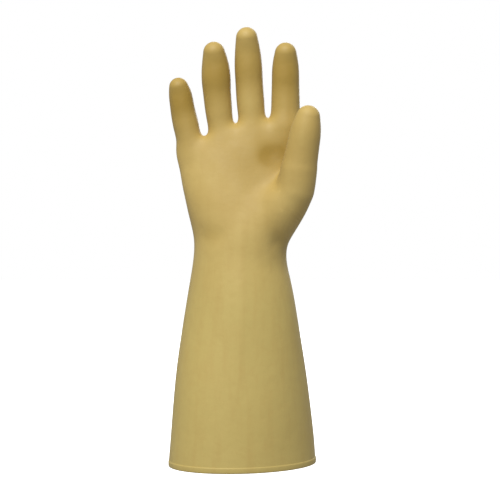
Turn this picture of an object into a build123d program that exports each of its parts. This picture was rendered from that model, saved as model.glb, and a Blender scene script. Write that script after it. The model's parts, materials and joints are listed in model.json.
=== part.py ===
from build123d import *
import math
import os

# Right-hand electrician's insulating glove of natural latex, standing on its open cuff.
# +X is the thumb side, the palm faces -Y, +Z runs from the cuff to the fingertips.
# The origin is at the middle of the rim, in the plane that the glove stands on. Lengths are in millimetres.

# ---------------------------------------------------------------- driving dimensions
GLOVE_LENGTH = 360.0        # rim to the tip of the middle finger
WALL = 2.3                  # rubber wall of the whole glove
RIM_HEIGHT = 5.0            # rolled edge round the opening
RIM_PROUD = 0.7             # how far the rolled edge stands out of the wall, outside and inside
RIM_ROUNDING = 1.2

# Cuff and wrist: height, middle across the hand, length and breadth of the ellipse, and its turn about +Z
# in degrees. The cuff twists a little, so that its mouth stands askew of the palm.
CUFF_SECTIONS = [
    (0.0, 0.5, 125.2, 94.2, 20.0),
    (58.0, -0.8, 112.4, 87.4, 13.0),
    (108.0, -1.2, 97.4, 78.8, 6.0),
    (148.0, -1.8, 83.8, 71.5, 0.0),
    (173.0, -2.5, 76.2, 65.8, 0.0),
    (191.0, -0.6, 81.5, 63.5, 0.0),
]
WRIST_FLEX_HEIGHT = 160.0   # hinge line of the bend towards the palm and the back
WRIST_FLEX_HALF = 12.0      # half the height of its soft ring
WRIST_RING_TOP = 178.0
WRIST_TILT_HEIGHT = 184.5   # hinge line of the bend to the sides
HAND_START = 191.0

# Palm: height, tilt, middle across, width, middle front to back, depth. The sections are ellipses, and
# they tilt more and more, up to the row of knuckles, which rises towards the index finger.
PALM_SECTIONS = [
    (191.0, 0.0, -0.6, 81.5, 0.0, 63.5),
    (205.0, 0.0, -1.8, 84.4, -1.6, 56.5),
    (221.0, 2.0, -4.2, 85.6, -2.8, 48.6),
    (237.0, 5.0, -5.2, 89.4, -3.0, 41.5),
    (251.0, 9.0, -5.2, 93.4, -3.0, 36.0),
    (263.0, 13.7, -4.8, 98.8, -3.0, 31.0),
    (275.0, 13.7, -5.0, 89.6, -3.0, 17.0),
]
PALM_PARTING = 240.0        # height at which the hand's shell is parted into palm and knuckles

# Thenar: the swelling at the root of the thumb. Middle (x, y, z), half width, half depth.
THENAR_START = ((12.0, -8.0, 191.0), 24.0, 19.0)
THENAR_MIDDLE = ((32.0, -19.0, 210.0), 19.0, 17.0)

# Fingers: middle of the root at the crotch (x, z), lean to the little finger's side, height of the top,
# radius at the root, at mid length and of the domed tip, distance from the crotch to the root hinge.
FINGERS = {
    "index": (35.8, 285.4, 0.2, 347.9, 11.5, 11.2, 8.9, 7.0),
    "middle": (8.0, 284.0, 4.1, GLOVE_LENGTH, 11.1, 11.4, 8.8, 8.0),
    "ring": (-18.0, 280.5, 5.6, 348.4, 10.8, 12.0, 8.9, 7.5),
    "little": (-45.0, 272.5, 12.0, 319.4, 10.6, 9.9, 7.9, 6.0),
}
FINGER_MIDDLE_Y = -3.0      # middle of the finger roots, front to back
FINGER_CURL = (3.0, 10.0, 22.0)      # forward lean of base, middle and tip at rest, degrees
FULLEST_AT = 0.58           # share of the finger's length from the crotch
MIDDLE_HINGE_AT = 0.42
TIP_HINGE_AT = 0.7
HINGE_DEPTH = 0.47          # hinge line under the palm-side surface, as a share of the finger's radius
MOST_BEND = 80.0            # largest bend of a finger joint, degrees
FOLD_SPARE = 0.4            # gap left on the palm side at the largest bend
FINGER_FOOT = 16.0          # how far a finger reaches down into the palm
FOOT_TAPER = 0.82           # radius at its foot, as a share of the radius at its root ring

# Crotches between neighbouring fingers: middle across and height.
WEBS = [(-31.2, 272.5), (-5.6, 281.6), (21.0, 285.0)]
WEB_DEPTH_BELOW = 9.0
WEB_FOOT = (20.0, 19.0)     # width and depth at the bottom of a web
WEB_CREST = (11.0, 9.0)     # width and depth at the crest

# Thumb: middle of its root, its tip, radii, and places along it from the root.
THUMB_ROOT = Vector(43.0, -26.5, 226.0)
THUMB_END = Vector(55.0, -42.0, 292.0)
THUMB_OUTLINE = [(0.0, 15.0), (16.0, 14.1), (36.0, 12.8), (46.0, 11.9)]     # place from the root, radius
THUMB_TIP_RADIUS = 9.3
THUMB_SWING_AT = 9.5
THUMB_SWING_HALF = 2.6
THUMB_FLEX_AT = 19.1
THUMB_FLEX_HALF = 4.6
THUMB_TIP_AT = 41.0
THUMB_TIP_HALF = 5.0

UP = Vector(0, 0, 1)
ACROSS = Vector(1, 0, 0)


# ---------------------------------------------------------------- helpers
def plane_at(middle, direction):
    """The plane across a tube at its middle, with its x direction as near +X as it can be."""
    across = (ACROSS - direction * ACROSS.dot(direction)).normalized()
    return Plane(origin=middle, x_dir=across, z_dir=direction)


def between(low, high, share):
    return low + (high - low) * share


def radius_at(outline, place):
    """The radius at a place along a tube, from an outline of (place, radius) corners."""
    for (low, low_r), (high, high_r) in zip(outline, outline[1:]):
        if place <= high:
            return between(low_r, high_r, (place - low) / (high - low))
    raise ValueError("place is past the end of the outline")


def tube(*stations):
    """An open tube between two round sections."""
    outer = loft([plane_at(m, d) * Circle(r) for m, d, r in stations], ruled=True)
    inner = loft([plane_at(m, d) * Circle(r - WALL) for m, d, r in stations], ruled=True)
    return outer - inner


def domed_solid(root_radius, tip_radius, length):
    """A solid of revolution on +Z: a tapered side that runs into a round tip."""
    shoulder = length - tip_radius
    foot = Line((0, 0), (root_radius, 0))
    side = Line((root_radius, 0), (tip_radius, shoulder))
    dome = CenterArc((0, shoulder), tip_radius, 0, 90)
    middle_line = Line((0, length), (0, 0))
    profile = make_face(Curve() + [foot, side, dome, middle_line])
    return revolve(Plane.XZ * profile, Axis.Z)


def domed_tip(middle, direction, root_radius, tip_radius, length):
    """A hollow stall end, closed by a dome."""
    outer = domed_solid(root_radius, tip_radius, length)
    inner = domed_solid(root_radius - WALL, tip_radius - WALL, length - WALL)
    return plane_at(middle, direction).location * (outer - inner)


def cuff_size(height):
    """Middle across, half length, half breadth and turn of the cuff's ellipse at a height."""
    for low, high in zip(CUFF_SECTIONS, CUFF_SECTIONS[1:]):
        if height <= high[0]:
            share = (height - low[0]) / (high[0] - low[0])
            middle, length, breadth, turn = (between(a, b, share) for a, b in zip(low[1:], high[1:]))
            return middle, length / 2, breadth / 2, turn
    raise ValueError("height is above the wrist")


def cuff_face(height, grow=0.0):
    middle, half_length, half_breadth, turn = cuff_size(height)
    return Pos(middle, 0, height) * Rot(0, 0, turn) * Ellipse(half_length + grow, half_breadth + grow)


def cuff_shell(low, high):
    """A length of the cuff or wrist, open at both ends."""
    inside = [height for height, *_ in CUFF_SECTIONS if low < height < high]
    heights = [low, *inside, high]
    outer = loft([cuff_face(h) for h in heights], ruled=len(heights) == 2)
    inner = loft([cuff_face(h, -WALL) for h in heights], ruled=len(heights) == 2)
    return outer - inner


# ---------------------------------------------------------------- fingers
def finger_layout(name):
    """Hinge places, directions and radii of one finger, from its driving dimensions."""
    root_x, root_z, lean, top, root_r, mid_r, tip_r, root_hinge = FINGERS[name]
    lean, curl = math.radians(lean), [math.radians(c) for c in FINGER_CURL]
    directions = []
    for angle in curl:
        sideways = -math.sin(lean) * math.cos(angle)
        directions.append(Vector(sideways, -math.sin(angle), math.cos(lean) * math.cos(angle)))
    rises = [d.Z for d in directions]
    shares = (MIDDLE_HINGE_AT, TIP_HINGE_AT - MIDDLE_HINGE_AT, 1 - TIP_HINGE_AT)
    rise_per_length = sum(rise * share for rise, share in zip(rises, shares))
    length = (top - root_z - tip_r * (1 - rises[2])) / rise_per_length
    crotch = Vector(root_x, FINGER_MIDDLE_Y, root_z)
    root_hinge_at = crotch + directions[0] * root_hinge
    middle_hinge_at = crotch + directions[0] * (length * shares[0])
    tip_hinge_at = middle_hinge_at + directions[1] * (length * shares[1])
    end = tip_hinge_at + directions[2] * (length * shares[2])
    rest_bend = math.radians(max(FINGER_CURL[1] - FINGER_CURL[0], FINGER_CURL[2] - FINGER_CURL[1]))
    closing = HINGE_DEPTH * mid_r * math.tan(math.radians(MOST_BEND / 2))
    half = closing + root_r * math.tan(rest_bend / 2) + FOLD_SPARE
    outline = [(0, root_r), (FULLEST_AT * length, mid_r), (length - tip_r, tip_r)]
    places = (root_hinge, MIDDLE_HINGE_AT * length, TIP_HINGE_AT * length)
    return {
        "directions": directions,
        "middles": [root_hinge_at, middle_hinge_at, tip_hinge_at],
        "end": end,
        "low_radii": [radius_at(outline, place - half) for place in places],
        "high_radii": [radius_at(outline, place + half) for place in places],
        "tip_radius": tip_r,
        "half": half,
        "foot": crotch - directions[0] * FINGER_FOOT,
    }


def finger_nodes(name):
    """The six nodes of a finger: a soft ring and a shell for each of its three segments."""
    f = finger_layout(name)
    directions, half = f["directions"], f["half"]
    below = [directions[0], *directions[:2]]
    nodes = {}
    segment = ("base", "middle", "tip")
    fold = ("root_fold", "middle_fold", "tip_fold")
    for i, middle in enumerate(f["middles"]):
        low = (middle - below[i] * half, below[i], f["low_radii"][i])
        high = (middle + directions[i] * half, directions[i], f["high_radii"][i])
        nodes[f"{name}_{fold[i]}"] = tube(low, high)
        if i < 2:
            following = f["middles"][i + 1] - directions[i] * half
            end = (following, directions[i], f["low_radii"][i + 1])
            nodes[f"{name}_{segment[i]}"] = tube(high, end)
        else:
            length = (f["end"] - high[0]).length
            nodes[f"{name}_{segment[i]}"] = domed_tip(*high, f["tip_radius"], length)
    return nodes


def finger_foot(name, wall=0.0):
    """The solid stub that joins a finger to the palm, up to its root ring."""
    f = finger_layout(name)
    direction = f["directions"][0]
    radius = f["low_radii"][0]
    end = f["middles"][0] - direction * f["half"]
    foot = plane_at(f["foot"], direction) * Circle(radius * FOOT_TAPER - wall)
    return loft([foot, plane_at(end, direction) * Circle(radius - wall)], ruled=True)


# ---------------------------------------------------------------- thumb
def thumb_station(place):
    """The thumb's round section at a distance from its root."""
    direction = (THUMB_END - THUMB_ROOT).normalized()
    return (THUMB_ROOT + direction * place, direction, radius_at(THUMB_OUTLINE, place))


def thumb_nodes():
    """Swing ring, rigid ring, root ring, base, tip ring and tip of the thumb stall."""
    length = (THUMB_END - THUMB_ROOT).length
    places = {
        "thumb_swing_fold": (THUMB_SWING_AT - THUMB_SWING_HALF, THUMB_SWING_AT + THUMB_SWING_HALF),
        "thumb_ring": (THUMB_SWING_AT + THUMB_SWING_HALF, THUMB_FLEX_AT - THUMB_FLEX_HALF),
        "thumb_root_fold": (THUMB_FLEX_AT - THUMB_FLEX_HALF, THUMB_FLEX_AT + THUMB_FLEX_HALF),
        "thumb_base": (THUMB_FLEX_AT + THUMB_FLEX_HALF, THUMB_TIP_AT - THUMB_TIP_HALF),
        "thumb_tip_fold": (THUMB_TIP_AT - THUMB_TIP_HALF, THUMB_TIP_AT + THUMB_TIP_HALF),
    }
    nodes = {name: tube(thumb_station(low), thumb_station(high)) for name, (low, high) in places.items()}
    start = THUMB_TIP_AT + THUMB_TIP_HALF
    nodes["thumb_tip"] = domed_tip(*thumb_station(start), THUMB_TIP_RADIUS, length - start)
    return nodes


def thenar_solid(wall=0.0):
    """The swelling that carries the thumb, up to the thumb's first ring."""
    _, direction, root_radius = thumb_station(0)
    start, start_w, start_d = THENAR_START
    middle, middle_w, middle_d = THENAR_MIDDLE
    lean = (UP + direction).normalized()
    first = plane_at(Vector(*start), UP) * Ellipse(start_w - wall, start_d - wall)
    second = plane_at(Vector(*middle), lean) * Ellipse(middle_w - wall, middle_d - wall)
    third = plane_at(THUMB_ROOT, direction) * Circle(root_radius - wall)
    swelling = loft([first, second, third])
    stub_end, _, stub_radius = thumb_station(THUMB_SWING_AT - THUMB_SWING_HALF)
    fourth = plane_at(stub_end, direction) * Circle(stub_radius - wall)
    return swelling + loft([third, fourth], ruled=True)


# ---------------------------------------------------------------- hand
def palm_solid(wall=0.0):
    """The palm's outside, or its inside when the wall is taken off."""
    faces = []
    for height, tilt, middle_x, width, middle_y, depth in PALM_SECTIONS:
        angle = math.radians(tilt)
        plane = plane_at(Vector(middle_x, middle_y, height), Vector(-math.sin(angle), 0, math.cos(angle)))
        faces.append(plane * Ellipse(width / 2 - wall, depth / 2 - wall))
    if wall:
        faces[-1] = faces[-1].moved(Pos(0, 0, -wall))
    return loft(faces, ruled=True)


def web_solid(middle_x, height):
    """The rubber between two finger roots, crested at the crotch."""
    foot = Pos(middle_x, FINGER_MIDDLE_Y, height - WEB_DEPTH_BELOW) * Ellipse(WEB_FOOT[0] / 2, WEB_FOOT[1] / 2)
    crest = Pos(middle_x, FINGER_MIDDLE_Y, height) * Ellipse(WEB_CREST[0] / 2, WEB_CREST[1] / 2)
    return loft([foot, crest], ruled=True)


def hand_nodes():
    """The hand's shell, parted across the palm."""
    outer = palm_solid() + thenar_solid()
    inner = palm_solid(WALL) + thenar_solid(WALL)
    for name in FINGERS:
        outer += finger_foot(name)
        inner += finger_foot(name, WALL)
    for middle_x, height in WEBS:
        outer += web_solid(middle_x, height)
    shell = outer - inner
    room = GLOVE_LENGTH
    upper_half = Pos(0, 0, PALM_PARTING + room / 2) * Box(room, room, room)
    return {"palm_shell": shell - upper_half, "knuckle_shell": shell & upper_half}


# ---------------------------------------------------------------- cuff
def cuff_rim():
    """The rolled edge: a rounded band with a flat foot."""
    outer = loft([cuff_face(0, RIM_PROUD), cuff_face(RIM_HEIGHT, RIM_PROUD)], ruled=True)
    inner = loft([cuff_face(0, -WALL - RIM_PROUD), cuff_face(RIM_HEIGHT, -WALL - RIM_PROUD)], ruled=True)
    band = outer - inner
    edges = band.edges().filter_by(lambda e: e.length > CUFF_SECTIONS[0][2])
    return fillet(edges, RIM_ROUNDING)


def glove_nodes():
    flex_low = WRIST_FLEX_HEIGHT - WRIST_FLEX_HALF
    flex_high = WRIST_FLEX_HEIGHT + WRIST_FLEX_HALF
    nodes = {
        "cuff_rim": cuff_rim(),
        "gauntlet": cuff_shell(RIM_HEIGHT, flex_low),
        "wrist_flex_fold": cuff_shell(flex_low, flex_high),
        "wrist_ring": cuff_shell(flex_high, WRIST_RING_TOP),
        "wrist_tilt_fold": cuff_shell(WRIST_RING_TOP, HAND_START),
    }
    nodes.update(hand_nodes())
    nodes.update(thumb_nodes())
    for name in FINGERS:
        nodes.update(finger_nodes(name))
    return nodes


os.makedirs("parts", exist_ok=True)
for node, solid in glove_nodes().items():
    export_step(solid, f"parts/{node}.step")
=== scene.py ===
"""A right-hand insulating glove of natural latex, standing on its open cuff.

The whole glove is one dipped skin. Its outside is the zero surface of a distance field, made of a trunk
(cuff, wrist and palm) and of round limbs (thenar, thumb and fingers) that run smoothly into each other.
The skin is cut along rings across the stalls and the wrist.
"""
import json
import math

import bmesh
import bpy
import numpy as np
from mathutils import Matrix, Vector


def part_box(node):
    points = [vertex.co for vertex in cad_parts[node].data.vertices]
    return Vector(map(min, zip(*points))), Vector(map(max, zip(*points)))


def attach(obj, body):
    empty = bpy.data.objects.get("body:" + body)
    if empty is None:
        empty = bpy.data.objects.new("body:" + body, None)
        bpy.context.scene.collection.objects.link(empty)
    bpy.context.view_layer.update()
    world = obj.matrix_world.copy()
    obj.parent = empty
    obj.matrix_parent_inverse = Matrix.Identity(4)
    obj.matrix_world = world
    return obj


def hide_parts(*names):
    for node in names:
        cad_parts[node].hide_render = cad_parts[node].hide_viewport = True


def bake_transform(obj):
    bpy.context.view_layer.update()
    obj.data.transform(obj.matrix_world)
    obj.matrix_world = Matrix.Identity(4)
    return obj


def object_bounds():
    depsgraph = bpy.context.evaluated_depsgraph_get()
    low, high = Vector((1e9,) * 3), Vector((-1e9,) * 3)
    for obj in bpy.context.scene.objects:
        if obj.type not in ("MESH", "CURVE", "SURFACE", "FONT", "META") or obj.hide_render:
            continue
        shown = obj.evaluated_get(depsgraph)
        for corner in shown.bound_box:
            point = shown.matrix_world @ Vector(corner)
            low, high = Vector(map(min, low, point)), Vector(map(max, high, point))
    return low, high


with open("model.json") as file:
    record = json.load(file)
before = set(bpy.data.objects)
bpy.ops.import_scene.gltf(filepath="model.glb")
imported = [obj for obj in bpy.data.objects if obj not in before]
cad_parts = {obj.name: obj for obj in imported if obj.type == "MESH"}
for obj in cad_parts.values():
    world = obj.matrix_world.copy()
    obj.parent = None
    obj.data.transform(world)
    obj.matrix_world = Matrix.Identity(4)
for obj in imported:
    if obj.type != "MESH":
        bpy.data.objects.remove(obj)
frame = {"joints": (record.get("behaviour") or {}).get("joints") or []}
cad_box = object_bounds()

# Lengths are in millimetres, like the design, and turn into metres when a mesh is made.
MM = 0.001
# +X is the thumb side, the palm faces -Y and +Z runs from the cuff to the fingertips.
UP = np.array([0.0, 0.0, 1.0])
FORWARD = np.array([0.0, -1.0, 0.0])

WALL = 2.3
GRID = 1.5
GRID_MARGIN = 8.0
RELAX_ROUNDS = 4
FAR = 60.0                  # stands for any distance too great to matter
LIMB_MARGIN = 16.0          # a limb's distance is worked out only this close to it
LINE_GUESSES = 9            # places along a limb where the search for the nearest one starts
LINE_ROUNDS = 5             # Newton steps of that search

# Cuff, wrist and palm: height, middle across, middle front to back, half length and half breadth of the
# ellipse, and its turn about +Z in degrees.
TRUNK_SECTIONS = np.array([
    (-12.0, 0.8, 0.0, 63.8, 47.8, 21.0),
    (0.0, 0.5, 0.0, 62.6, 47.1, 20.0),
    (58.0, -0.5, 0.0, 56.5, 43.7, 13.0),
    (108.0, -0.8, 0.0, 49.2, 39.4, 6.0),
    (148.0, -1.4, 0.0, 42.4, 35.7, 0.0),
    (172.0, -2.3, 0.0, 38.0, 32.7, 0.0),
    (186.0, -2.5, -0.4, 37.6, 31.2, 0.0),
    (205.0, -2.4, -1.6, 41.6, 27.8, 0.0),
    (221.0, -4.2, -2.8, 42.8, 24.1, 0.0),
    (237.0, -5.0, -3.0, 44.6, 20.7, 0.0),
    (251.0, -5.0, -3.0, 46.4, 17.8, 0.0),
    (263.0, -4.8, -3.0, 48.4, 15.0, 0.0),
    (275.0, -4.8, -3.0, 49.4, 11.5, 0.0),
    (290.0, -4.8, -3.0, 49.4, 8.0, 0.0),
])
KNUCKLE_TILT = 13.7         # rise of the knuckle row towards the index finger, degrees
TILT_FROM, TILT_TO = 200.0, 262.0

# Upper edge of the palm between the fingers: across, height.
PALM_EDGE = np.array([
    (-66.0, 262.0),
    (-31.0, 270.3),
    (-5.6, 280.0),
    (21.0, 283.2),
    (60.0, 282.0),
])
PALM_EDGE_ROUNDING = 13.0

# Fingers: radius at the crotch, at the fullest place and of the tip.
FINGERS = {
    "index": (11.6, 11.3, 8.9),
    "middle": (11.2, 11.4, 8.8),
    "ring": (10.9, 12.0, 8.9),
    "little": (10.6, 9.9, 7.9),
}
FINGER_CURL = (3.0, 10.0, 22.0)      # forward lean of base, middle and tip, degrees
FINGER_FOOT = 20.0          # how far a finger's line reaches down into the palm
FINGER_FOOT_SHARE = 0.78    # radius at its foot, as a share of its radius at the crotch
FULLEST_AT = 0.4            # where it is fullest, as a share of the way from its middle ring to its last
FULLEST_SHARE = 0.7         # share of the fullest radius at these two rings
TIP_DROP = 0.6              # how far below the design's domes the fingertips end

# Thenar: middle (x, y, z) and radius, up to the root of the thumb.
THENAR = [((17.0, -9.0, 188.0), 17.2), ((32.2, -18.2, 210.0), 18.2)]
THENAR_OVERLAP = 16.0       # how far the thenar's swelling runs on inside the thumb
# The pad of the palm that fills in behind the thumb, up to the foot of the index finger.
THUMB_PAD = [
    ((22.0, -9.0, 212.0), 10.5),
    ((27.0, -9.5, 228.0), 11.5),
    ((30.0, -5.8, 242.0), 8.2),
    ((34.5, -3.8, 254.0), 7.4),
    ((37.0, -2.8, 265.0), 7.8),
    ((36.5, -2.2, 276.0), 8.6),
]
THUMB_SWING_AT = 9.5        # distance of the swing hinge from the thumb's root
THUMB_OUTLINE = [(0.0, 15.0), (16.0, 14.3), (36.0, 13.1), (47.0, 12.3)]
THUMB_TIP_RADIUS = 9.6

# Hollows and creases: the dimple in the palm, and soft grooves from one point to another with a depth
# and a width.
PALM_HOLLOW = np.array([23.4, -18.0, 253.6])
PALM_HOLLOW_WIDTH = 9.0
PALM_HOLLOW_DEPTH = 1.2
CREASES = [
    ((20.0, -26.0, 210.0), (27.0, -24.0, 184.0), 1.0, 7.0),
    ((27.0, -24.0, 184.0), (36.0, -12.0, 178.0), 0.3, 8.0),
    ((-31.0, -20.0, 189.0), (-20.0, -28.0, 189.0), 1.0, 9.0),
]
# The soft ridge up the front of the cuff: its place across, the heights between which it fades in and
# out, and the depth over which it fades in from the sides.
RIDGE_AT, RIDGE_WIDTH, RIDGE_HEIGHT = -0.4, 5.0, 0.5
RIDGE_RISE, RIDGE_FADE = (70.0, 110.0), (175.0, 215.0)
PALM_FRONT = 12.0
# Fine wrinkles at the foot of the thumb: their middle, how far they reach, and their waves.
WRINKLES = np.array([44.0, -26.0, 204.0])
WRINKLES_REACH, WRINKLE_HEIGHT, WRINKLE_PITCH = 6.0, 0.22, 1.4
# Unevenness of the cuff: its height, the heights between which it fades in and out, and its waves as
# count round the cuff, turn per millimetre of height, start and share.
UNEVENNESS = 0.22
UNEVEN_RISE, UNEVEN_FADE = (0.0, 25.0), (120.0, 190.0)
UNEVEN_WAVES = [(3, 0.041, 0.0, 1.0), (5, -0.029, 1.3, 0.7), (2, 0.083, 0.6, 0.5)]

# Colours of the latex, linear, and where painted shade darkens it: share by finger, and spots with a
# middle, a size along each axis and a share.
LATEX_PALE = (0.56, 0.41, 0.135)
LATEX_TAN = (0.52, 0.37, 0.115)
LATEX_WARM = (0.49, 0.335, 0.10)
LATEX_PAINTED_SHADE = (0.345, 0.22, 0.036)
LATEX_CUFF = (0.545, 0.425, 0.135)
CUFF_TONE_FROM, CUFF_TONE_TO = 200.0, 130.0     # heights between which the cuff's greener tone comes in
CUFF_TONE_SHARE = 0.8
# Painted shade on the fingers, which lean forward and face away from the key light: their middles, with a
# size along each axis and a share by finger, and the whole fingers above the palm.
FINGER_MIDDLE_SHADE_SIZE = (14.0, 24.0, 21.0)
FINGER_MIDDLE_PAINTED_SHADE = {"index": 0.62, "middle": 0.62, "ring": 0.95, "little": 0.95}
FINGER_PAINTED_SHADE, FINGER_SHADE_FROM, FINGER_SHADE_TO = 0.19, 238.0, 275.0
# Painted shade spots: the palm's hollow beside the thumb and its lobe, the palm's upper part, the index
# finger, and the creases at the foot of the thenar and on both sides of the wrist.
PAINTED_SHADE_SPOTS = [
    (np.array([21.5, -18.0, 253.5]), np.array([7.0, 14.0, 8.0]), 0.85),
    (np.array([30.0, -16.0, 258.0]), np.array([4.5, 14.0, 5.0]), 0.6),
    (np.array([16.0, -20.0, 248.0]), np.array([38.0, 22.0, 28.0]), 0.6),
    (np.array([36.0, -10.0, 320.0]), np.array([14.0, 20.0, 50.0]), 0.25),
    (np.array([32.0, -20.0, 183.0]), np.array([8.0, 16.0, 9.0]), 0.1),
    (np.array([24.0, -26.0, 202.0]), np.array([7.0, 12.0, 14.0]), 0.2),
    (np.array([-26.0, -28.0, 189.0]), np.array([11.0, 14.0, 8.0]), 0.3),
]

# The latex: noises as scale per millimetre, detail and roughness; spans of a noise as its low and high
# value and what they turn into; bumps as distance in metres and strength.
CLOUDS, CLOUD_SPAN = (0.022, 2.0, 0.5), (0.35, 0.65, 0.0, 1.0)
STREAKS, STREAK_SPAN = (1.0, 3.0, 0.5), (0.45, 0.75, 0.0, 0.35)
STREAK_STRETCH = (0.16, 0.16, 0.018)
MOTTLE, MOTTLE_SPAN = (0.16, 4.0, 0.6), (0.5, 0.8, 0.0, 0.3)
GLOSS, ROUGHNESS_SPAN = (0.09, 3.0, 0.5), (0.3, 0.7, 0.48, 0.6)
WAVES, WAVE_BUMP = (0.11, 2.0, 0.5), (0.0006, 0.5)
GRAIN, GRAIN_BUMP = (1.1, 4.0, 0.65), (0.00012, 0.5)
LATEX_SHINE = {
    "Specular IOR Level": 0.32,
    "Coat Weight": 0.04,
    "Coat Roughness": 0.32,
    "Sheen Weight": 0.05,
    "Sheen Roughness": 0.5,
}

# Rounding where two shapes meet.
PALM_TO_FINGER = 12.0
FINGER_TO_FINGER = 3.0
PALM_TO_THENAR = 22.0
PALM_TO_THUMB = 6.0
PALM_TO_PAD = 22.0
THENAR_TO_THUMB = 3.0
ROOT_FROM, ROOT_TO = 216.0, 247.0       # the thenar's rounding turns into the thumb's between these heights

# The rolled rim. Its section is an ellipse with fuller shoulders.
RIM_HEIGHT = 5.0
RIM_PROUD = 0.18            # how far it stands out from the skin on each side
RIM_FULLNESS = 0.55         # 1 is an ellipse, less is fuller
RIM_POINTS_AROUND, RIM_POINTS_ACROSS = 240, 28

# Cuts across the skin, each far enough from the hinges for the length between two cuts to hold one.
# A cut counts only near its own middle: within TRUNK_REACH or THUMB_REACH of it, or within the finger's
# radius and FINGER_REACH.
SKIN_START = RIM_HEIGHT / 2         # the skin's lower edge is inside the rim
WRIST_RINGS = (138.0, 180.0, 201.0)     # heights of the wrist's cuts
TRUNK_REACH = 90.0
FINGER_FOLD_HALF = 6.0      # from a finger's root hinge down to its first cut
FINGER_REACH = 3.5
THUMB_RINGS = (5.6, 14.3, 29.5)     # places of the cuts along the thumb, from its root
THUMB_SLANTS = (0.55, 0.55, 0.25)   # THUMB_SLANTS = (0.55, 0.55, 0.25) # slope by which the cuts lie higher on the palm's side
THUMB_REACH = 19.5
TOWARDS_PALM = np.array([-0.48, 0.88, 0.0])     # from the thumb to the palm's pad behind it
LIMB_SKIN = 2.5             # faces this close to a stall's own surface belong to it

# Floor and light, in metres and watts.
FLOOR_REACH = 6.0
FLOOR_WHITE = 0.9
FLOOR_GLOW = 0.8
SURROUND_LIGHT = 0.33
LIT_POINT = (0.0, 0.0, 0.24)
KEY_PLACE = (-0.27, -1.0, 1.3)
KEY_POWER = 26.5
BACK_PLACE = (0.35, 1.35, 0.9)
BACK_POWER = 13.0
LIGHT_SIZE = 1.1
CAMERA_PLACE = (0.0064, -1.0, 0.177)
CAMERA_LENS = 86.8


# ---------------------------------------------------------------- curves
class Curve:
    """A natural cubic spline through given values, straight beyond its ends."""

    def __init__(self, places, values):
        self.x = np.asarray(places, float)
        self.y = np.asarray(values, float)
        steps = np.diff(self.x)
        slopes = np.diff(self.y, axis=0) / (steps if self.y.ndim == 1 else steps[:, None])
        count = len(self.x)
        system = np.eye(count)
        right = np.zeros_like(self.y)
        for i in range(1, count - 1):
            system[i, i - 1:i + 2] = steps[i - 1], 2 * (steps[i - 1] + steps[i]), steps[i]
            right[i] = 6 * (slopes[i] - slopes[i - 1])
        self.bend = np.linalg.solve(system, right)
        self.steps = steps

    def at(self, place):
        """Value and slope at each place."""
        i = np.clip(np.searchsorted(self.x, place) - 1, 0, len(self.steps) - 1)
        step = self.steps[i]
        clipped = np.clip(place, self.x[0], self.x[-1])
        share = (clipped - self.x[i]) / step
        over = place - clipped
        if self.y.ndim == 2:
            step, share, over = step[:, None], share[:, None], over[:, None]
        low, high = self.y[i], self.y[i + 1]
        low_bend, high_bend = self.bend[i] * step ** 2 / 6, self.bend[i + 1] * step ** 2 / 6
        rest = 1 - share
        value = rest * low + share * high
        value = value + (rest ** 3 - rest) * low_bend + (share ** 3 - share) * high_bend
        slope = high - low - (3 * rest ** 2 - 1) * low_bend + (3 * share ** 2 - 1) * high_bend
        slope = slope / step
        return value + slope * over, slope


def smooth_min(a, b, width):
    """The smaller value, rounded off where the two are within a width of each other."""
    closeness = np.maximum(width - np.abs(a - b), 0) / width
    return np.minimum(a, b) - closeness ** 3 * width / 6


def smooth_max(a, b, width):
    return -smooth_min(-a, -b, width)


def smooth_step(value, low, high):
    share = np.clip((value - low) / (high - low), 0, 1)
    return share * share * (3 - 2 * share)


def between(first, second, share):
    return first * (1 - share) + second * share


def unit(vector):
    return vector / np.linalg.norm(vector)


# ---------------------------------------------------------------- limbs
class Limb:
    """Spheres swept along a curve: a stall, or the swelling of the thenar."""

    def __init__(self, stations):
        middles = np.array([middle for middle, _ in stations])
        radii = np.array([radius for _, radius in stations])
        lengths = np.linalg.norm(np.diff(middles, axis=0), axis=1)
        places = np.concatenate([[0], np.cumsum(lengths)])
        self.length = places[-1]
        self.line = Curve(places, middles)
        self.radius = Curve(places, radii)
        reach = radii.max() + LIMB_MARGIN
        self.low = middles.min(axis=0) - reach
        self.high = middles.max(axis=0) + reach

    def distance(self, points):
        """Distance to the limb's surface, negative inside, and FAR for points well away from it."""
        result = np.full(len(points), FAR)
        near = np.flatnonzero(np.all((points > self.low) & (points < self.high), axis=1))
        if not len(near):
            return result
        p = points[near]
        guesses = np.linspace(0, self.length, LINE_GUESSES)
        stops, _ = self.line.at(guesses)
        gaps = ((p[:, None, :] - stops[None]) ** 2).sum(axis=2)
        place = guesses[np.argmin(gaps, axis=1)]
        for _ in range(LINE_ROUNDS):
            middle, direction = self.line.at(place)
            _, taper = self.radius.at(place)
            offset = p - middle
            away = np.linalg.norm(offset, axis=1)
            pull = (offset * direction).sum(axis=1) + away * taper
            place = np.clip(place + pull / (direction ** 2).sum(axis=1), 0, self.length)
        middle, _ = self.line.at(place)
        radius, _ = self.radius.at(place)
        result[near] = np.linalg.norm(p - middle, axis=1) - radius
        return result


joints = {joint["name"]: joint for joint in frame["joints"]}


def middle_of(node):
    """The middle of a node's box."""
    low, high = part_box(node)
    return (np.array(low) + np.array(high)) / 2 / MM


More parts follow.
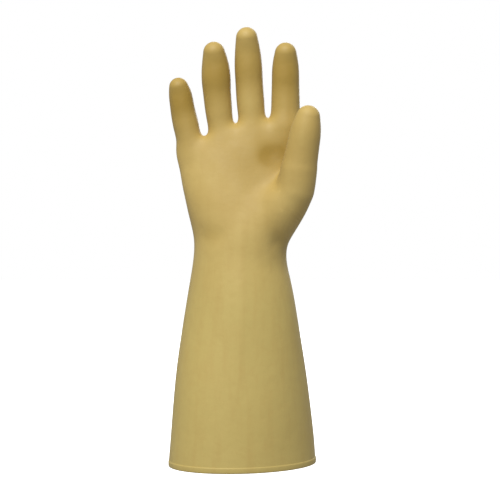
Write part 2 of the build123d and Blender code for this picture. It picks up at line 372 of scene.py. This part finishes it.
def finger_frame(name):
    """Directions and ring middles of a finger, from its hinges and rings."""
    axis = np.array(joints[f"{name}_root_bend"]["axis"])
    lengthwise = np.cross(FORWARD, axis)
    curls = [math.radians(curl) for curl in FINGER_CURL]
    directions = [unit(lengthwise * math.cos(c) + FORWARD * math.sin(c)) for c in curls]
    rings = [middle_of(f"{name}_{fold}") for fold in ("root_fold", "middle_fold", "tip_fold")]
    _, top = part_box(f"{name}_tip")
    tip_radius = FINGERS[name][2]
    rise = top[2] / MM - TIP_DROP - tip_radius - rings[2][2]
    tip_middle = rings[2] + directions[2] * rise / directions[2][2]
    return directions, rings, tip_middle


def finger_limb(name):
    root_radius, full_radius, tip_radius = FINGERS[name]
    directions, rings, tip_middle = finger_frame(name)
    foot = rings[0] - directions[0] * FINGER_FOOT
    stations = [
        (foot, root_radius * FINGER_FOOT_SHARE),
        (rings[0], root_radius),
        (rings[1], between(root_radius, full_radius, FULLEST_SHARE)),
        (between(rings[1], rings[2], FULLEST_AT), full_radius),
        (rings[2], between(tip_radius, full_radius, FULLEST_SHARE)),
        (tip_middle, tip_radius),
    ]
    return Limb(stations)


def thumb_frame():
    """Root, direction and tip middle of the thumb, from its rings."""
    swing, last = middle_of("thumb_swing_fold"), middle_of("thumb_tip_fold")
    direction = unit(last - swing)
    root = swing - direction * THUMB_SWING_AT
    _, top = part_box("thumb_tip")
    rise = top[2] / MM - THUMB_TIP_RADIUS - root[2]
    return root, direction, root + direction * rise / direction[2]


def thumb_limb():
    root, direction, tip_middle = thumb_frame()
    stations = [(root + direction * place, radius) for place, radius in THUMB_OUTLINE]
    stations.append((tip_middle, THUMB_TIP_RADIUS))
    return Limb(stations)


def thenar_limb():
    root, direction, _ = thumb_frame()
    stations = [(np.array(middle), radius) for middle, radius in THENAR]
    stations.append((root, THUMB_OUTLINE[0][1]))
    stations.append((root + direction * THENAR_OVERLAP, THUMB_OUTLINE[1][1]))
    return Limb(stations)


finger_limbs = [finger_limb(name) for name in FINGERS]
thumb = thumb_limb()
thenar = thenar_limb()
thumb_pad = Limb([(np.array(middle), radius) for middle, radius in THUMB_PAD])
trunk_curve = Curve(TRUNK_SECTIONS[:, 0], TRUNK_SECTIONS[:, 1:])
palm_edge_curve = Curve(PALM_EDGE[:, 0], PALM_EDGE[:, 1])


# ---------------------------------------------------------------- the outside
def trunk_distance(points):
    """Distance, to first order, to the cuff, wrist and palm, whose sections tilt up to the knuckle row."""
    x, y, z = points.T
    tilt = math.tan(math.radians(KNUCKLE_TILT)) * smooth_step(z, TILT_FROM, TILT_TO)
    height = z - tilt * x
    sections, _ = trunk_curve.at(height)
    middle_x, middle_y, half_length, half_breadth, turn = sections.T
    turn = np.radians(turn)
    across, deep = x - middle_x, y - middle_y
    long_share = (across * np.cos(turn) + deep * np.sin(turn)) / half_length
    broad_share = (deep * np.cos(turn) - across * np.sin(turn)) / half_breadth
    reach = np.hypot(long_share, broad_share)
    slope = np.hypot(long_share / half_length, broad_share / half_breadth)
    return reach * (reach - 1) / np.maximum(slope, 1e-6)


def bump(distance, width):
    """A soft swelling, 1 in its middle."""
    return np.exp(-((distance / width) ** 2))


def to_segment(points, start, end):
    """Distance of each point to a straight segment."""
    along = end - start
    share = np.clip((points - start) @ along / (along @ along), 0, 1)
    return np.linalg.norm(points - start - share[:, None] * along, axis=1)


def relief(points):
    """How far hollows, creases and unevenness move the surface outwards."""
    x, y, z = points.T
    front = smooth_step(-y, 0, PALM_FRONT)
    height = -PALM_HOLLOW_DEPTH * bump(np.linalg.norm(points - PALM_HOLLOW, axis=1), PALM_HOLLOW_WIDTH)
    for start, end, depth, width in CREASES:
        height -= depth * bump(to_segment(points, np.array(start), np.array(end)), width)
    ridge_reach = smooth_step(z, *RIDGE_RISE) * smooth_step(-z, -RIDGE_FADE[1], -RIDGE_FADE[0])
    height += RIDGE_HEIGHT * bump(x - RIDGE_AT, RIDGE_WIDTH) * ridge_reach * front
    wrinkled = bump(np.linalg.norm(points - WRINKLES, axis=1), WRINKLES_REACH)
    height += WRINKLE_HEIGHT * np.sin((z + x) * WRINKLE_PITCH) * wrinkled
    around = np.arctan2(y, x)
    uneven_reach = smooth_step(-z, -UNEVEN_FADE[1], -UNEVEN_FADE[0]) * smooth_step(z, *UNEVEN_RISE)
    for count, climb, start, share in UNEVEN_WAVES:
        height += UNEVENNESS * share * np.sin(count * around + z * climb + start) * uneven_reach
    return height


def outside(points):
    """Distance to the glove's outer surface, negative inside."""
    palm = trunk_distance(points)
    edge, edge_slope = palm_edge_curve.at(points[:, 0])
    above = (points[:, 2] - edge) / np.sqrt(1 + edge_slope ** 2)
    palm = smooth_max(palm, above, PALM_EDGE_ROUNDING)
    fingers = np.full(len(points), FAR)
    for limb in finger_limbs:
        fingers = smooth_min(fingers, limb.distance(points), FINGER_TO_FINGER)
    body = smooth_min(palm, fingers, PALM_TO_FINGER)
    body = smooth_min(body, thumb_pad.distance(points), PALM_TO_PAD)
    arm = smooth_min(thenar.distance(points), thumb.distance(points), THENAR_TO_THUMB)
    free = smooth_step(points[:, 2], ROOT_FROM, ROOT_TO)
    rounding = PALM_TO_THENAR + (PALM_TO_THUMB - PALM_TO_THENAR) * free
    return smooth_min(body, arm, rounding) - relief(points)


def outward(points):
    """Unit normals of the field, and its slope."""
    eps = 0.05
    gradient = np.empty_like(points)
    for axis in range(3):
        shift = np.zeros(3)
        shift[axis] = eps
        gradient[:, axis] = (outside(points + shift) - outside(points - shift)) / (2 * eps)
    size = np.linalg.norm(gradient, axis=1, keepdims=True)
    return gradient / size, size[:, 0]


def settle(points, rounds=3):
    """Moves points onto the surface, along its normals."""
    for _ in range(rounds):
        normals, slope = outward(points)
        points = points - normals * (outside(points) / slope)[:, None]
    return points


# ---------------------------------------------------------------- grid to mesh
def surface_nets(values, low, step):
    """Vertices and quads of the surface where a grid of values changes sign."""
    inside = values < 0
    cells_shape = np.array(values.shape) - 1
    count = np.zeros(cells_shape, int)
    for corner in np.ndindex(2, 2, 2):
        window = tuple(slice(c, c + n) for c, n in zip(corner, cells_shape))
        count += inside[window]
    mixed = (count > 0) & (count < 8)
    ids = np.full(cells_shape, -1)
    ids[mixed] = np.arange(mixed.sum())
    cells = np.argwhere(mixed)
    total = np.zeros((len(cells), 3))
    crossings = np.zeros(len(cells))
    units = np.eye(3, dtype=int)
    for axis in range(3):
        others = [units[i] for i in range(3) if i != axis]
        for first, second in np.ndindex(2, 2):
            start = cells + first * others[0] + second * others[1]
            end = start + units[axis]
            a, b = values[tuple(start.T)], values[tuple(end.T)]
            crossed = (a < 0) != (b < 0)
            share = a[crossed] / (a[crossed] - b[crossed])
            total[crossed] += start[crossed] + units[axis] * share[:, None]
            crossings[crossed] += 1
    vertices = low + step * total / crossings[:, None]
    quads = []
    for axis in range(3):
        u, v = units[(axis + 1) % 3], units[(axis + 2) % 3]
        along = tuple(slice(None, -1) if i == axis else slice(None) for i in range(3))
        onward = tuple(slice(1, None) if i == axis else slice(None) for i in range(3))
        points = np.argwhere(inside[along] != inside[onward])
        points = points[np.all((points >= u + v) & (points < cells_shape), axis=1)]
        corners = [points - u - v, points - v, points, points - u]
        ring = np.stack([ids[tuple(c.T)] for c in corners], axis=1)
        leaving = inside[tuple(points.T)]
        quads.append(np.where(leaving[:, None], ring, ring[:, ::-1]))
    return vertices, np.concatenate(quads)


def relax(vertices, quads, rounds):
    """Evens out the mesh by averaging neighbours, and settles it on the surface again."""
    pairs = np.concatenate([quads[:, [i, (i + 1) % 4]] for i in range(4)])
    counts = np.bincount(pairs[:, 0], minlength=len(vertices))
    counts = counts + np.bincount(pairs[:, 1], minlength=len(vertices))
    for _ in range(rounds):
        sums = np.zeros_like(vertices)
        for axis in range(3):
            values = vertices[:, axis]
            sums[:, axis] = np.bincount(pairs[:, 0], values[pairs[:, 1]], len(vertices))
            sums[:, axis] += np.bincount(pairs[:, 1], values[pairs[:, 0]], len(vertices))
        vertices = vertices * 0.5 + sums / counts[:, None] * 0.5
        vertices = settle(vertices, 1)
    return vertices


def skin_mesh():
    """The whole outer surface, open below the rim."""
    low, high = (np.array(corner) / MM for corner in cad_box)
    low = low - GRID_MARGIN
    high = high + GRID_MARGIN
    counts = np.ceil((high - low) / GRID).astype(int) + 1
    axes = [low[i] + GRID * np.arange(counts[i]) for i in range(3)]
    values = np.empty(counts)
    for i, height in enumerate(axes[2]):
        across, deep = np.meshgrid(axes[0], axes[1], indexing="ij")
        layer = np.stack([across.ravel(), deep.ravel(), np.full(across.size, height)], axis=1)
        values[:, :, i] = outside(layer).reshape(across.shape)
    vertices, quads = surface_nets(values, low, GRID)
    vertices = relax(settle(vertices), quads, RELAX_ROUNDS)
    return settle(vertices), quads


# ---------------------------------------------------------------- cutting the skin
class Ring:
    """A plane across the skin, that counts only near its own middle."""

    def __init__(self, middle, direction, reach):
        self.middle = middle
        self.direction = direction
        self.reach = reach

    def near(self, points):
        return np.linalg.norm(points - self.middle, axis=-1) < self.reach

    def beyond(self, points):
        return (points - self.middle) @ self.direction > 0


def finger_rings(name):
    """Where the skin of a finger is cut: at its root and halfway along its base and middle."""
    directions, rings, _ = finger_frame(name)
    reach = FINGERS[name][0] + FINGER_REACH
    return [
        Ring(rings[0] - directions[0] * FINGER_FOLD_HALF, directions[0], reach),
        Ring((rings[0] + rings[1]) / 2, directions[0], reach),
        Ring((rings[1] + rings[2]) / 2, directions[1], reach),
    ]


def thumb_facings():
    """The direction that each of the thumb's cuts faces."""
    _, direction, _ = thumb_frame()
    palm_side = TOWARDS_PALM - direction * (TOWARDS_PALM @ direction)
    return [unit(direction - unit(palm_side) * slope) for slope in THUMB_SLANTS]


def thumb_rings():
    root, direction, _ = thumb_frame()
    rings = zip(THUMB_RINGS, thumb_facings())
    return [Ring(root + direction * place, facing, THUMB_REACH) for place, facing in rings]


def cut_all(bm, rings):
    """Cuts the mesh along each ring."""
    for ring in rings:
        faces = []
        for face in bm.faces:
            if ring.near(np.array(face.calc_center_median())):
                faces.append(face)
        edges = {edge for face in faces for edge in face.edges}
        verts = {vert for face in faces for vert in face.verts}
        bmesh.ops.bisect_plane(
            bm,
            geom=[*verts, *edges, *faces],
            dist=1e-4,
            plane_co=ring.middle,
            plane_no=ring.direction,
        )


def trunk_ring(height):
    return Ring(UP * height, UP, TRUNK_REACH)


def labels_of(centres):
    """The piece that each face belongs to."""
    labels = np.full(len(centres), "hand", dtype=object)
    heights = centres[:, 2]
    low, middle, high = WRIST_RINGS
    labels[heights < high] = "wrist_upper"
    labels[heights < middle] = "wrist_lower"
    labels[heights < low] = "gauntlet"
    groups = {name: finger_rings(name) for name in FINGERS}
    groups["thumb"] = thumb_rings()
    segments = {name: ("base", "middle", "tip") for name in FINGERS}
    segments["thumb"] = ("swing", "base", "tip")
    limbs = dict(zip(FINGERS, finger_limbs))
    limbs["thumb"] = thumb
    for name, rings in groups.items():
        on_limb = limbs[name].distance(centres) < LIMB_SKIN
        for ring, segment in zip(rings, segments[name]):
            labels[on_limb & ring.beyond(centres)] = f"{name}_{segment}"
    return labels


def cut_skin():
    """The skin's vertices, its faces, and the piece that each face belongs to."""
    vertices, quads = skin_mesh()
    bm = bmesh.new()
    made = [bm.verts.new(v) for v in vertices]
    for quad in quads:
        bm.faces.new([made[i] for i in quad])
    bmesh.ops.bisect_plane(
        bm,
        geom=[*bm.verts, *bm.edges, *bm.faces],
        plane_co=(0, 0, SKIN_START),
        plane_no=(0, 0, 1),
        clear_inner=True,
    )
    rings = [trunk_ring(height) for height in WRIST_RINGS]
    for name in FINGERS:
        rings += finger_rings(name)
    rings += thumb_rings()
    cut_all(bm, rings)
    bm.verts.index_update()
    vertices = np.array([v.co for v in bm.verts])
    faces = [[v.index for v in face.verts] for face in bm.faces]
    centres = np.array([face.calc_center_median() for face in bm.faces])
    bm.free()
    return vertices, faces, labels_of(centres)


# ---------------------------------------------------------------- the latex
class Nodes:
    """Short calls for making a material's nodes."""

    def __init__(self, name):
        self.material = bpy.data.materials.new(name)
        self.material.use_nodes = True
        self.tree = self.material.node_tree
        self.shader = self.tree.nodes["Principled BSDF"]

    def link(self, output, target):
        self.tree.links.new(output, target)

    def attribute(self, name, output):
        node = self.tree.nodes.new("ShaderNodeAttribute")
        node.attribute_name = name
        return node.outputs[output]

    def noise(self, place, scale, detail, roughness):
        node = self.tree.nodes.new("ShaderNodeTexNoise")
        node.inputs["Scale"].default_value = scale
        node.inputs["Detail"].default_value = detail
        node.inputs["Roughness"].default_value = roughness
        self.link(place, node.inputs["Vector"])
        return node.outputs["Fac"]

    def height(self, place):
        node = self.tree.nodes.new("ShaderNodeSeparateXYZ")
        self.link(place, node.inputs["Vector"])
        return node.outputs["Z"]

    def stretched(self, place, scale):
        node = self.tree.nodes.new("ShaderNodeMapping")
        node.inputs["Scale"].default_value = scale
        self.link(place, node.inputs["Vector"])
        return node.outputs["Vector"]

    def span(self, value, low, high, to_low, to_high):
        node = self.tree.nodes.new("ShaderNodeMapRange")
        limits = {"From Min": low, "From Max": high, "To Min": to_low, "To Max": to_high}
        for name, number in limits.items():
            node.inputs[name].default_value = number
        self.link(value, node.inputs["Value"])
        return node.outputs["Result"]

    def mix(self, factor, first, second):
        node = self.tree.nodes.new("ShaderNodeMix")
        node.data_type = "RGBA"
        self.link(factor, node.inputs["Factor"])
        for colour, target in ((first, node.inputs["A"]), (second, node.inputs["B"])):
            if isinstance(colour, tuple):
                target.default_value = (*colour, 1.0)
            else:
                self.link(colour, target)
        return node.outputs["Result"]

    def bump(self, height, distance, strength, below=None):
        node = self.tree.nodes.new("ShaderNodeBump")
        node.inputs["Distance"].default_value = distance
        node.inputs["Strength"].default_value = strength
        self.link(height, node.inputs["Height"])
        if below is not None:
            self.link(below, node.inputs["Normal"])
        return node.outputs["Normal"]


def latex_material():
    """Dipped natural latex: clouded tan over a paler tan, darkened where shade is painted in, with a satin
    skin and fine grain.
    """
    nodes = Nodes("natural_latex")
    place = nodes.attribute("rest", "Vector")
    colour = nodes.mix(nodes.span(nodes.noise(place, *CLOUDS), *CLOUD_SPAN), LATEX_PALE, LATEX_TAN)
    cuff = nodes.span(nodes.height(place), CUFF_TONE_FROM, CUFF_TONE_TO, 0.0, CUFF_TONE_SHARE)
    colour = nodes.mix(cuff, colour, LATEX_CUFF)
    streaks = nodes.noise(nodes.stretched(place, STREAK_STRETCH), *STREAKS)
    colour = nodes.mix(nodes.span(streaks, *STREAK_SPAN), colour, LATEX_WARM)
    colour = nodes.mix(nodes.span(nodes.noise(place, *MOTTLE), *MOTTLE_SPAN), colour, LATEX_WARM)
    # Painted shade: the latex darkens towards a deeper, more saturated colour by the share stored on each
    # point.
    colour = nodes.mix(nodes.attribute("painted_shade", "Fac"), colour, LATEX_PAINTED_SHADE)
    nodes.link(colour, nodes.shader.inputs["Base Color"])
    nodes.link(nodes.span(nodes.noise(place, *GLOSS), *ROUGHNESS_SPAN), nodes.shader.inputs["Roughness"])
    for name, amount in LATEX_SHINE.items():
        nodes.shader.inputs[name].default_value = amount
    waves = nodes.bump(nodes.noise(place, *WAVES), *WAVE_BUMP)
    grain = nodes.bump(nodes.noise(place, *GRAIN), *GRAIN_BUMP, waves)
    nodes.link(grain, nodes.shader.inputs["Normal"])
    return nodes.material


def painted_shade_share(points):
    """Painted shade, as a share of the darker colour: finger middles, the palm's hollow and the wrist's
    creases.
    """
    share = FINGER_PAINTED_SHADE * smooth_step(points[:, 2], FINGER_SHADE_FROM, FINGER_SHADE_TO)
    for name, amount in FINGER_MIDDLE_PAINTED_SHADE.items():
        _, rings, _ = finger_frame(name)
        middle = (rings[1] + rings[2]) / 2
        share += amount * bump(np.linalg.norm((points - middle) / FINGER_MIDDLE_SHADE_SIZE, axis=1), 1.0)
    for middle, size, amount in PAINTED_SHADE_SPOTS:
        share += amount * bump(np.linalg.norm((points - middle) / size, axis=1), 1.0)
    return np.clip(share, 0, 1)


def remember_rest(mesh, points):
    """Stores where each point is at rest, for the material, and its share of painted shade."""
    rest = mesh.attributes.new("rest", "FLOAT_VECTOR", "POINT")
    rest.data.foreach_set("vector", points.astype(np.float32).ravel())
    # The share of painted shade at each point.
    painted_shade = mesh.attributes.new("painted_shade", "FLOAT", "POINT")
    painted_shade.data.foreach_set("value", painted_shade_share(points).astype(np.float32))


# ---------------------------------------------------------------- pieces
def closed_piece(name, vertices, normals, faces, material):
    """A length of the skin as a closed solid: its outside, its inside and the cut faces between them."""
    used = np.unique(np.concatenate(faces))
    place = np.full(len(vertices), -1)
    place[used] = np.arange(len(used))
    outer = vertices[used]
    facing = normals[used]
    count = len(used)
    outer_faces = [[int(place[i]) for i in face] for face in faces]
    inner_faces = [[i + count for i in reversed(face)] for face in outer_faces]
    edges = [(a, b) for face in outer_faces for a, b in zip(face, face[1:] + face[:1])]
    known = set(edges)
    caps = [[b, a, a + count, b + count] for a, b in edges if (b, a) not in known]
    mesh = bpy.data.meshes.new(name)
    points = np.concatenate([outer, outer - facing * WALL]) * MM
    mesh.from_pydata(points.tolist(), [], outer_faces + inner_faces + caps)
    mesh.update()
    remember_rest(mesh, points / MM)
    smooth = [True] * (len(outer_faces) + len(inner_faces)) + [False] * len(caps)
    mesh.polygons.foreach_set("use_smooth", smooth)
    mesh.normals_split_custom_set_from_vertices(np.concatenate([facing, -facing]).tolist())
    mesh.materials.append(material)
    piece = bpy.data.objects.new(name, mesh)
    bpy.context.scene.collection.objects.link(piece)
    return piece


def bend(piece):
    """Bakes a piece's placement into its mesh."""
    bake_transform(piece)


def fuller(wave):
    """A cosine or sine wave with fuller shoulders."""
    return np.sign(wave) * np.abs(wave) ** RIM_FULLNESS


def rim_piece(material):
    """The rolled edge: a rounded band round the opening."""
    around, turns = RIM_POINTS_AROUND, RIM_POINTS_ACROSS
    angles = np.linspace(0, 2 * math.pi, around, endpoint=False)
    profile = np.linspace(0, 2 * math.pi, turns, endpoint=False)
    half_thick = WALL / 2 + RIM_PROUD
    half_high = RIM_HEIGHT / 2
    radial = fuller(np.cos(profile)) * half_thick - WALL / 2
    height = fuller(np.sin(profile)) * half_high + half_high
    section, _ = trunk_curve.at(np.array([0.0]))
    middle_x, middle_y, half_length, half_breadth, turn = section[0]
    cos_turn, sin_turn = math.cos(math.radians(turn)), math.sin(math.radians(turn))
    turned = np.array([[cos_turn, sin_turn], [-sin_turn, cos_turn]])
    points = []
    for angle in angles:
        normal = unit(np.array([math.cos(angle) / half_length, math.sin(angle) / half_breadth]))
        on_wall = np.array([half_length * math.cos(angle), half_breadth * math.sin(angle)])
        for r, h in zip(radial, height):
            points.append((*((on_wall + normal * r) @ turned + (middle_x, middle_y)), h))
    faces = []
    for i in range(around):
        for j in range(turns):
            a, b = i * turns + j, i * turns + (j + 1) % turns
            c, d = ((i + 1) % around) * turns + (j + 1) % turns, ((i + 1) % around) * turns + j
            faces.append([a, d, c, b])
    mesh = bpy.data.meshes.new("rolled_rim")
    mesh.from_pydata((np.array(points) * MM).tolist(), [], faces)
    mesh.update()
    remember_rest(mesh, np.array(points))
    mesh.shade_smooth()
    mesh.materials.append(material)
    piece = bpy.data.objects.new("rolled_rim", mesh)
    bpy.context.scene.collection.objects.link(piece)
    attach(piece, "gauntlet")
    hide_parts("cuff_rim")


def build_glove():
    material = latex_material()
    vertices, faces, labels = cut_skin()
    normals, _ = outward(vertices)

    def piece_of(label):
        own = [face for face, owner in zip(faces, labels) if owner == label]
        piece = closed_piece(f"skin_{label}", vertices, normals, own, material)
        return piece

    gauntlet = piece_of("gauntlet")
    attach(gauntlet, "gauntlet")
    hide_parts("gauntlet")
    wrist_lower = piece_of("wrist_lower")
    bend(wrist_lower)
    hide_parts("wrist_flex_fold", "wrist_ring")
    wrist_upper = piece_of("wrist_upper")
    bend(wrist_upper)
    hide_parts("wrist_tilt_fold")
    hand = piece_of("hand")
    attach(hand, "hand")
    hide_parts("palm_shell", "knuckle_shell")
    for name in FINGERS:
        bodies = ("hand", f"{name}_base", f"{name}_middle", f"{name}_tip")
        folds = ("root_fold", "middle_fold", "tip_fold")
        for i, segment in enumerate(("base", "middle", "tip")):
            piece = piece_of(f"{name}_{segment}")
            bend(piece)
            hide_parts(f"{name}_{folds[i]}", f"{name}_{segment}")
    bodies = ("hand", "thumb_ring", "thumb_base", "thumb_tip")
    folds = ("thumb_swing_fold", "thumb_root_fold", "thumb_tip_fold")
    for i, segment in enumerate(("swing", "base", "tip")):
        piece = piece_of(f"thumb_{segment}")
        bend(piece)
        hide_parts(folds[i], bodies[i + 1])
    rim_piece(material)


# ---------------------------------------------------------------- floor, light and camera
def stage_floor():
    """A wide white floor, a little bright of its own, like lit paper."""
    mesh = bpy.data.meshes.new("floor")
    corners = [(-FLOOR_REACH, -FLOOR_REACH, 0), (FLOOR_REACH, -FLOOR_REACH, 0)]
    corners += [(FLOOR_REACH, FLOOR_REACH, 0), (-FLOOR_REACH, FLOOR_REACH, 0)]
    mesh.from_pydata(corners, [], [(0, 1, 2, 3)])
    floor = bpy.data.objects.new("floor", mesh)
    bpy.context.scene.collection.objects.link(floor)
    nodes = Nodes("white_paper")
    nodes.shader.inputs["Base Color"].default_value = (FLOOR_WHITE, FLOOR_WHITE, FLOOR_WHITE, 1)
    nodes.shader.inputs["Roughness"].default_value = 0.95
    nodes.shader.inputs["Emission Color"].default_value = (1, 1, 1, 1)
    nodes.shader.inputs["Emission Strength"].default_value = FLOOR_GLOW
    mesh.materials.append(nodes.material)
    floor.visible_diffuse = False
    floor.visible_glossy = False


def area_light(name, place, power):
    """A large square light that points at the middle of the glove."""
    data = bpy.data.lights.new(name, "AREA")
    data.size = LIGHT_SIZE
    data.energy = power
    light = bpy.data.objects.new(name, data)
    light.location = place
    light.rotation_mode = "QUATERNION"
    light.rotation_quaternion = (Vector(LIT_POINT) - Vector(place)).to_track_quat("-Z", "Y")
    bpy.context.scene.collection.objects.link(light)


def studio():
    """A white surround, a large key light from the upper left and a weaker one from behind."""
    world = bpy.data.worlds.new("studio")
    world.use_nodes = True
    tree = world.node_tree
    soft = tree.nodes["Background"]
    soft.inputs["Color"].default_value = (1, 1, 1, 1)
    soft.inputs["Strength"].default_value = SURROUND_LIGHT
    seen = tree.nodes.new("ShaderNodeBackground")
    seen.inputs["Color"].default_value = (1, 1, 1, 1)
    path = tree.nodes.new("ShaderNodeLightPath")
    either = tree.nodes.new("ShaderNodeMixShader")
    tree.links.new(path.outputs["Is Camera Ray"], either.inputs["Fac"])
    tree.links.new(soft.outputs["Background"], either.inputs[1])
    tree.links.new(seen.outputs["Background"], either.inputs[2])
    tree.links.new(either.outputs["Shader"], tree.nodes["World Output"].inputs["Surface"])
    bpy.context.scene.world = world
    area_light("key", KEY_PLACE, KEY_POWER)
    area_light("back", BACK_PLACE, BACK_POWER)


def camera():
    """Looks straight at the palm, from halfway up the glove."""
    data = bpy.data.cameras.new("camera")
    data.sensor_width = 36.0
    data.lens = CAMERA_LENS
    viewer = bpy.data.objects.new("camera", data)
    viewer.location = CAMERA_PLACE
    viewer.rotation_euler = (math.radians(90), 0, 0)
    bpy.context.scene.collection.objects.link(viewer)
    bpy.context.scene.camera = viewer


build_glove()
stage_floor()
studio()
camera()
bpy.context.scene.view_settings.view_transform = "Standard"
